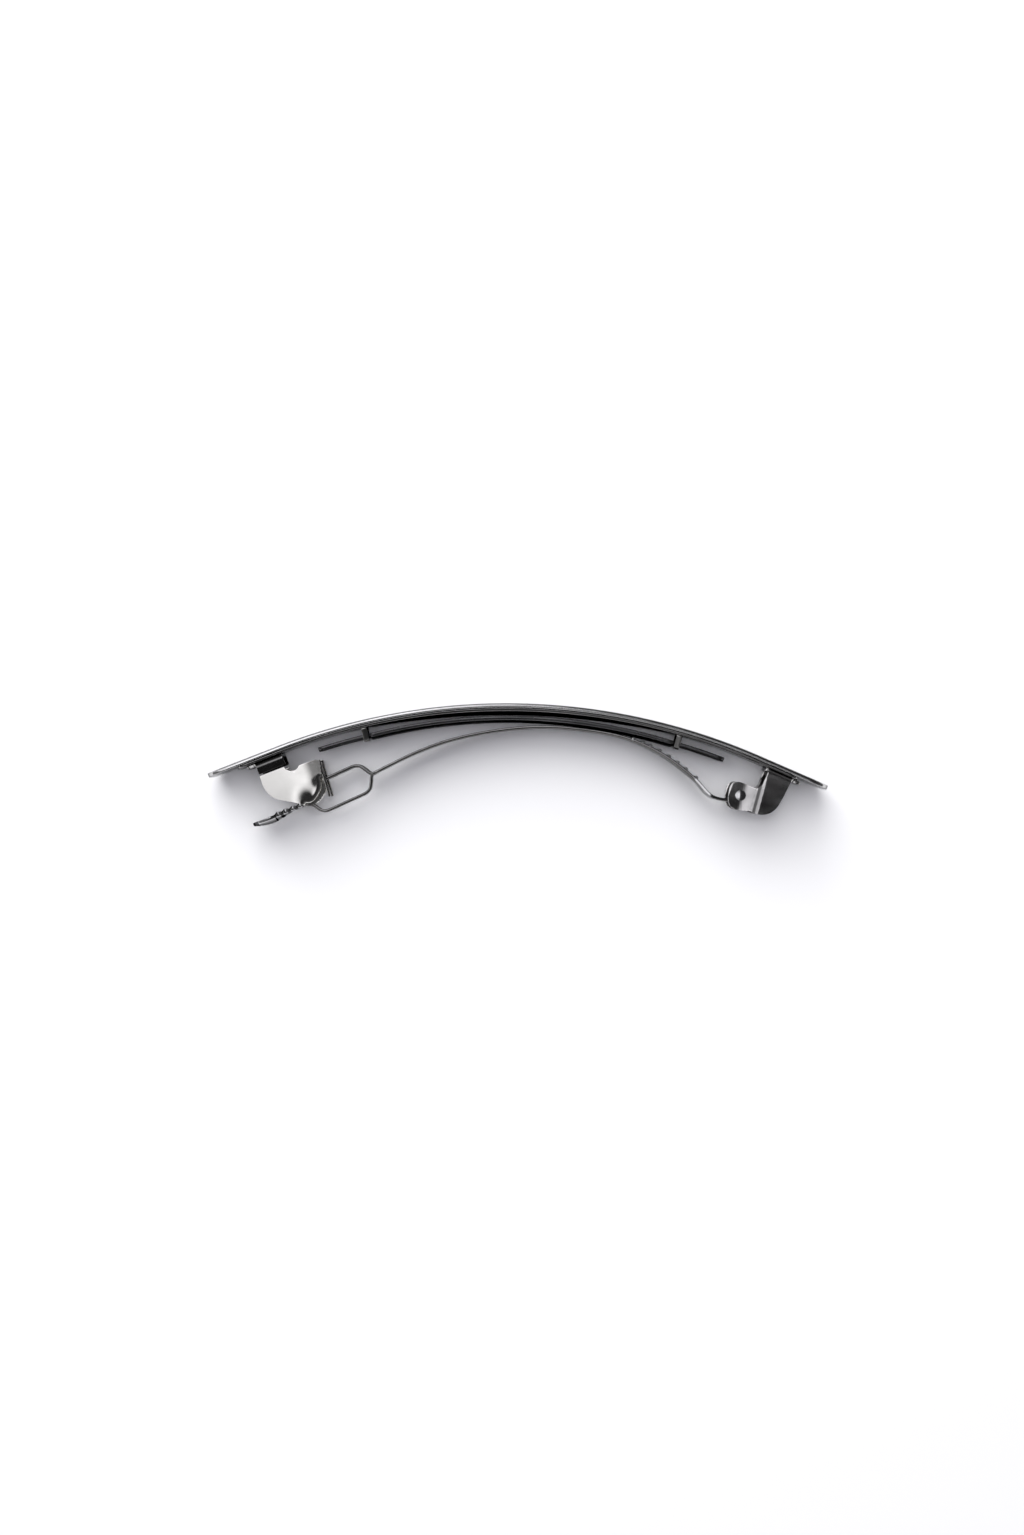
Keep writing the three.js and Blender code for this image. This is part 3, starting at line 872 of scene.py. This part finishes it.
def add_arm_strip(bm, line):
    """The rolled eye and the strip, whose highlight stretch is squarer and slants a little;
    make_arm paints that stretch bright, a painted highlight.
    """
    eye = arc_points(PIN, EYE_RADIUS, EYE_START_DEGREES, EYE_END_DEGREES, EYE_STEPS)
    strip = along_path(eye + line[1:], strip_section)
    for station in strip:
        x = station["point"].x
        # polish is the share of the highlight stretch here, which is shaped squarer and slanted.
        polish = smooth_step(x, HIGHLIGHT_STRETCH_START - HIGHLIGHT_STRETCH_FADE, HIGHLIGHT_STRETCH_START)
        polish *= 1 - smooth_step(x, HIGHLIGHT_STRETCH_END, HIGHLIGHT_STRETCH_END + HIGHLIGHT_STRETCH_FADE)
        station["shear"] = -HIGHLIGHT_STRETCH_SLANT * polish
        station["crown"] = ARM_CROWN + (ARM_EDGE - ARM_CROWN) * polish
    add_strip(bm, strip, ARM_EDGE, ARM_CROWN)


def loop_point(run, height):
    """From the loop's frame, which runs along the arm's straight end, to the drawing's frame."""
    return Matrix.Rotation(LOOP_ANGLE, 2) @ Vector((-run, height)) + LOOP_START


def loop_line(side):
    """The outer (1) or inner (-1) branch of the loop, from the strip's end to the grip."""
    high = side * LOOP_HALF_HEIGHT
    end = LOOP_LENGTH
    moves = [(-0.4, 0), (0.15, 0), (0.5, 0.05 * high, 0.8, 0.4 * high), (1.25, 0.75 * high),
             (1.7, high, 2.6, high), (end - 2.4, high),
             (end - 1.5, high, end - 1.0, 0.6 * high), (end - 0.4, 0, end + 0.6, 0)]
    return spaced([loop_point(p.x, p.y) for p in outline_path(moves)], LOOP_STEPS)


def add_loop(bm):
    """Two side legs along the outer branch, and one middle leg along the inner branch."""
    legs = ((1, ARM_SLIM_HALF_WIDTH, RAIL_INNER),
            (1, -RAIL_INNER, -ARM_SLIM_HALF_WIDTH),
            (-1, TONGUE_LEG_HALF_WIDTH, -TONGUE_LEG_HALF_WIDTH))
    for side, near, far in legs:
        stations = along_path(loop_line(side), lambda run, total: arm_section(near, far))
        add_strip(bm, stations, ARM_EDGE, ARM_CROWN)


def grip_half_width(run):
    """The grip in plan: it widens from the loop and ends in a half circle."""
    widest = GRIP_LENGTH - GRIP_HALF_WIDTH
    if run < widest:
        return ARM_SLIM_HALF_WIDTH + (GRIP_HALF_WIDTH - ARM_SLIM_HALF_WIDTH) * run / widest
    past = min(run - widest, GRIP_BLUNT * GRIP_HALF_WIDTH)
    return math.sqrt(GRIP_HALF_WIDTH ** 2 - past ** 2)


def ridge_share(run):
    """How high the finger ridges stand along the grip, from nothing to one."""
    past = (run - RIDGE_START) / RIDGE_PITCH
    return math.sin(math.pi * past) ** 2 if 0 < past < RIDGE_COUNT else 0


def grip_section(run, total):
    """The grip's section: ridged near the loop, spooned towards the tip."""
    ridge = RIDGE_HEIGHT * ridge_share(run)
    width = grip_half_width(run) - ridge
    spoon = SPOON_DEPTH * (width / GRIP_HALF_WIDTH) ** 2 * smooth_step(run, *SPOON_RUN)
    return {"above": ARM_HALF_THICKNESS, "below": ARM_HALF_THICKNESS + ridge,
            "near": width, "far": -width, "cup": -spoon}


def add_grip(bm):
    line = [loop_point(LOOP_LENGTH + run, run * math.tan(GRIP_LIFT))
            for run in spread(0, GRIP_LENGTH, GRIP_STEPS)]
    add_strip(bm, along_path(line, grip_section), ARM_EDGE, ARM_CROWN)


def add_bosses(bm, line):
    """A row of plain round bosses along each edge of the inner face, towards the hinge."""
    inner = along_path(line, lambda run, total: {})
    for x in spread(BOSS_FIRST, BOSS_LAST, BOSS_COUNT - 1):
        station = min(inner, key=lambda s: abs(s["point"].x - x))
        normal = station["normal"]
        spot = station["point"] - normal * ARM_HALF_THICKNESS
        for across in (-BOSS_REACH, BOSS_REACH):
            add_dome(bm, row_point(spot.x, spot.y, across), Vector((-normal.x, -normal.y, 0)),
                     BOSS_RADIUS * MM, BOSS_HEIGHT * MM)


def grip_metal(run):
    """Painted shade (dark metal) in the valleys between the ridges and at the tip, painted
    highlight (bright metal) elsewhere.
    """
    ridged = RIDGE_START < run < RIDGE_START + RIDGE_COUNT * RIDGE_PITCH
    valley = ridged and ridge_share(run) < RIDGE_FOOT_SHARE
    return PAINTED_SHADE if valley or run > GRIP_LENGTH - GRIP_TIP else PAINTED_HIGHLIGHT


def make_arm():
    bm = bmesh.new()
    line = spaced(spline([Vector(p) for p in ARM_LINE] + [LOOP_START]), ARM_STEPS)
    add_arm_strip(bm, line)
    add_loop(bm)
    grip_first = len(bm.faces)
    add_grip(bm)
    boss_first = len(bm.faces)
    add_bosses(bm, line)
    piece = finish_object("arm", bm, "arm", ["clasp_arm"], SPRING_SHADE_METAL)
    # Painted highlight and painted shade metals for parts of the arm, and the bosses' near-white
    # metal.
    for material in (PIN_AND_HIGHLIGHT_METAL, BOW_SHADE_METAL, BOSS_HIGHLIGHT_METAL):
        piece.data.materials.append(material)
    along_loop = loop_point(1, 0) - loop_point(0, 0)
    for face in piece.data.polygons:
        place = Vector((face.center.x / MM, (face.center.y - APEX_Y) / MM))
        if face.index >= boss_first:
            face.material_index = BOSSED
        # Painted highlight: the stretch by the hinge gets the bright metal.
        elif HIGHLIGHT_STRETCH_START < place.x < HIGHLIGHT_STRETCH_END:
            face.material_index = PAINTED_HIGHLIGHT
        elif face.index >= grip_first:
            face.material_index = grip_metal((place - LOOP_START).dot(along_loop) - LOOP_LENGTH)
    weighted_normals(piece)


# ---- latch end ----------------------------------------------------------------------------------

LATCH_EAR = [
    (-3.85, -3.05), (-3.9, -4.4), (-3.75, -6.4, -2.3, -7.25), (0.6, -9.05),
    (1.5, -9.7, 2.6, -9.1), (4.35, -8.0, 4.3, -6.5), (4.95, -3.95), (4.3, -3.7), (1.9, -3.6),
]
EAR_NOTCH = (1.0, -2.9)
EAR_NOTCH_RADIUS = 1.15
EAR_NOTCH_DEGREES = (-39, -172.5)
LIP = [(4.12, -6.4), (4.15, -7.85, 2.4, -8.93), (1.6, -9.45, 0.8, -8.95)]
CATCH_TOP = (4.775, -3.95)
CATCH_TIP = (4.355, -9.3)
PRESS = Vector((3.55, -6.75))
PRESS_RADIUS = 1.0
PRESS_DEPTH = 0.03
NOSE = Vector((2.0, -8.75))
NOSE_RADIUS = 3.8
NOSE_DEPTH = 0.25
CREST = 1.9
BELLY_BEND = 0.037
BELLY_RUN = 1.4
CHEEK_BEND = 0.006
LIP_REACH = 0.55
LIP_DROP = 0.7


def latch_blank(flat):
    """The flat outline of the latch bracket: its foot, with a short neck on each side."""
    left, right = LATCH_FOOT
    neck_left, neck_right = LATCH_NECK
    neck = flat + BEND_RADIUS * (math.pi / 2 - LATCH_LEAN) + LATCH_NECK_LENGTH
    corner = LATCH_FOOT_CORNER
    blank = arc_points((left + corner, flat - corner), corner, 90, 180, FOOT_CORNER_STEPS)
    blank += arc_points((left + corner, -flat + corner), corner, 180, 270, FOOT_CORNER_STEPS)
    return blank + [
        Vector((neck_left - ROOT_RELIEF, -flat)), Vector((neck_left, -flat - ROOT_RELIEF)),
        Vector((neck_left, -neck)), Vector((neck_right, -neck)), Vector((right, -flat)),
        Vector((right, flat)), Vector((neck_right, neck)), Vector((neck_left, neck)),
        Vector((neck_left, flat + ROOT_RELIEF)), Vector((neck_left - ROOT_RELIEF, flat)),
    ]


def make_latch_bracket():
    half_foot = LATCH_HALF_WIDTH - SHEET / 2
    depth = FOOT_DEPTH + SHEET / 2
    bm = sheet_grid(latch_blank(half_foot - BEND_RADIUS), FORMING_STEP)
    for v in bm.verts:
        across, down = fold(v.co.y, half_foot, depth, LATCH_LEAN)
        place = left_drawn(v.co.x, -down)
        v.co = row_point(place.x, place.y, across)
    piece = finish_object("latch_bracket_sheet", bm, "frame", ["latch_bracket"],
                          LATCH_SHADE_METAL)
    thicken(piece, SHEET, LATCH_RIM)


def ear_relief(place, lip):
    """How far the ear's face lies behind its flat part, at a place in the ear's frame."""
    past = place.x - CREST
    belly = CHEEK_BEND / 2 * past ** 2
    if past > 0:
        bent = min(past, BELLY_RUN)
        belly = BELLY_BEND * bent * (past - bent / 2)
    press = 1 - smooth_step((place - PRESS).length, 0.0, PRESS_RADIUS)
    nose = max(0.0, 1 - (place - NOSE).length / NOSE_RADIUS) ** 3
    curl = max(0.0, 1 - min((place - p).length for p in lip) / LIP_REACH) ** 2
    return belly + PRESS_DEPTH * press + NOSE_DEPTH * nose + LIP_DROP * curl


def make_latch_ear(side, name, node, body):
    """An ear on the near (1) or far (-1) side, and the catch tab folded in from its edge."""
    notch = arc_points(EAR_NOTCH, EAR_NOTCH_RADIUS, *EAR_NOTCH_DEGREES, NOTCH_STEPS)
    bm = sheet_grid(outline_path(LATCH_EAR) + notch, EAR_STEP)
    lip = spaced(outline_path(LIP), LIP_STEPS)
    middle = EAR_INNER + SHEET / 2
    for v in bm.verts:
        flat = Vector((v.co.x, v.co.y))
        place = left_drawn(flat.x, flat.y)
        v.co = row_point(place.x, place.y, side * (middle - ear_relief(flat, lip)))
    piece = finish_object(name, bm, body, [node], EAR_LIT_METAL)
    thicken(piece, EAR_SHEET, EAR_RIM)

    tab = bmesh.new()
    points = spaced([left_drawn(*CATCH_TOP), left_drawn(*CATCH_TIP)], CATCH_STEPS)
    far, near = sorted((side * CATCH_INNER, side * (EAR_INNER + CATCH_LAP)))
    stations = along_path(points, lambda run, total: {
        "above": CATCH_HALF_THICKNESS, "below": CATCH_HALF_THICKNESS, "near": near, "far": far})
    add_strip(tab, stations, CATCH_EDGE, CATCH_CROWN)
    catch = finish_object(name + "_catch", tab, body, [], EAR_LIT_METAL)
    weighted_normals(catch)


# ---- the set, in metres -------------------------------------------------------------------------
# The softbox's places are slopes from straight up: its turn is about the vertical.

CAMERA_DISTANCE = 0.400
CAMERA_PLACE = (-0.00085, 0.0001)
CAMERA_ROLL = math.radians(1.12)
VIEW_HEIGHT = 0.2164
SENSOR_HEIGHT = 36

FLOOR_HALF_SIZE = 1.5
FLOOR_DROP = 0.00001
PAPER_TONE = (0.93, 0.93, 0.94, 1)

SOFTBOX_TURN = math.radians(88)
SOFTBOX_EDGE = (-0.05, 0.065)
SOFTBOX_LEVEL = 1.9
SOFTBOX_FADE = (0.06, 0.12)
SOFTBOX_FADED = 0.62
SOFTBOX_FAR_END = (0.15, 0.5)
SOFTBOX_FAR_FADED = 0.15
SOFTBOX_NEAR_END = (-0.45, -0.2)
SOFTBOX_NEAR_FADED = 0.1
ROOM_TONE = (0.96, 0.955, 1.0, 1)
ROOM_HEIGHTS = (0.9, 0.1)
ROOM_OVERHEAD = 0.035
ROOM_HORIZON = 0.13
LEAST_UP = 0.04
FILL_LEVEL = 0.23

KEY_AZIMUTH = math.radians(23)
KEY_HEIGHT = math.radians(47)
KEY_DISTANCE = 1.05
KEY_SIZE = (1.0, 1.3)
KEY_POWER = 15.4
TOP_PLACE = (0.0, 0.04, 1.2)
TOP_SIZE = (0.9, 0.4)
TOP_POWER = 3.9
TOP_TONE = (0.94, 0.93, 1.0)


def make_floor():
    bm = bmesh.new()
    half = FLOOR_HALF_SIZE
    corners = [(-half, -half), (half, -half), (half, half), (-half, half)]
    bm.faces.new([bm.verts.new((x, y, -FLOOR_DROP)) for x, y in corners])
    mesh = bpy.data.meshes.new("floor")
    bm.to_mesh(mesh)
    bm.free()
    floor = bpy.data.objects.new("floor", mesh)
    bpy.context.scene.collection.objects.link(floor)
    paper = bpy.data.materials.new("paper")
    paper.use_nodes = True
    shader = paper.node_tree.nodes["Principled BSDF"]
    shader.inputs["Base Color"].default_value = PAPER_TONE
    shader.inputs["Roughness"].default_value = 0.9
    shader.inputs["Specular IOR Level"].default_value = 0.1
    mesh.materials.append(paper)


def area_light(name, place, size, power, colour=(1, 1, 1)):
    """A soft light that faces the middle of the floor and doesn't show in the metal."""
    data = bpy.data.lights.new(name, "AREA")
    data.shape = "RECTANGLE"
    data.size = size[0]
    data.size_y = size[1]
    data.energy = power
    data.color = colour
    light = bpy.data.objects.new(name, data)
    bpy.context.scene.collection.objects.link(light)
    light.location = place
    light.visible_glossy = False
    light.rotation_euler = (-Vector(place)).to_track_quat("-Z", "Y").to_euler()


def make_lights():
    out = math.cos(KEY_HEIGHT)
    key_place = KEY_DISTANCE * Vector((-math.sin(KEY_AZIMUTH) * out, math.cos(KEY_AZIMUTH) * out,
                                       math.sin(KEY_HEIGHT)))
    area_light("key", key_place, KEY_SIZE, KEY_POWER)
    area_light("top", TOP_PLACE, TOP_SIZE, TOP_POWER, TOP_TONE)


def make_world():
    """A dark room with a big softbox, for reflections only, and an even fill for the rest.

    The softbox is painted on a ceiling: its soft edge runs beside the point overhead.
    """
    world = bpy.data.worlds.new("studio")
    bpy.context.scene.world = world
    world.use_nodes = True
    nodes = world.node_tree.nodes
    links = world.node_tree.links
    background = nodes["Background"]
    background.inputs["Color"].default_value = ROOM_TONE

    def connect(value, socket):
        if isinstance(value, (int, float)):
            socket.default_value = value
        else:
            links.new(value, socket)

    def calc(operation, a, b):
        node = nodes.new("ShaderNodeMath")
        node.operation = operation
        connect(a, node.inputs[0])
        connect(b, node.inputs[1])
        return node.outputs[0]

    def ease(value, low, high, start, end):
        node = nodes.new("ShaderNodeMapRange")
        node.interpolation_type = "SMOOTHSTEP"
        connect(value, node.inputs["Value"])
        node.inputs["From Min"].default_value = low
        node.inputs["From Max"].default_value = high
        node.inputs["To Min"].default_value = start
        node.inputs["To Max"].default_value = end
        return node.outputs["Result"]

    place = nodes.new("ShaderNodeTexCoord")
    axes = nodes.new("ShaderNodeSeparateXYZ")
    links.new(place.outputs["Generated"], axes.inputs["Vector"])
    up = calc("MAXIMUM", axes.outputs["Z"], LEAST_UP)
    right = calc("DIVIDE", axes.outputs["X"], up)
    away = calc("DIVIDE", axes.outputs["Y"], up)
    sine = math.sin(SOFTBOX_TURN)
    cosine = math.cos(SOFTBOX_TURN)
    inward = calc("ADD", calc("MULTIPLY", right, -sine), calc("MULTIPLY", away, cosine))
    along = calc("ADD", calc("MULTIPLY", right, cosine), calc("MULTIPLY", away, sine))
    lit = ease(inward, *SOFTBOX_EDGE, 0, SOFTBOX_LEVEL)
    for fade in (ease(inward, *SOFTBOX_FADE, 1, SOFTBOX_FADED),
                 ease(along, *SOFTBOX_FAR_END, 1, SOFTBOX_FAR_FADED),
                 ease(along, *SOFTBOX_NEAR_END, SOFTBOX_NEAR_FADED, 1)):
        lit = calc("MULTIPLY", lit, fade)
    room = ease(axes.outputs["Z"], *ROOM_HEIGHTS, ROOM_OVERHEAD, ROOM_HORIZON)
    seen = calc("ADD", lit, room)
    path = nodes.new("ShaderNodeLightPath")
    glossy = path.outputs["Is Glossy Ray"]
    level = calc("ADD", calc("MULTIPLY", glossy, seen),
                 calc("MULTIPLY", calc("SUBTRACT", 1, glossy), FILL_LEVEL))
    links.new(level, background.inputs["Strength"])


def make_camera():
    """A camera straight above the barrette, rolled a little as the object lies in its frame."""
    data = bpy.data.cameras.new("camera")
    data.sensor_fit = "VERTICAL"
    data.sensor_height = SENSOR_HEIGHT
    data.lens = SENSOR_HEIGHT * CAMERA_DISTANCE / VIEW_HEIGHT
    camera = bpy.data.objects.new("camera", data)
    bpy.context.scene.collection.objects.link(camera)
    camera.location = (*CAMERA_PLACE, 2 * MIDDLE_Z + CAMERA_DISTANCE)
    camera.rotation_euler = (0, 0, CAMERA_ROLL)
    bpy.context.scene.camera = camera


bpy.context.scene.view_settings.view_transform = "Standard"
make_camera()
make_world()
make_floor()
make_lights()
make_cover()
make_base()
make_bow()
make_hinge_bracket()
make_pin()
make_arm()
make_latch_bracket()
make_latch_ear(1, "near_ear", "near_latch_ear", "near_ear")
make_latch_ear(-1, "far_ear", "far_latch_ear", "far_ear")
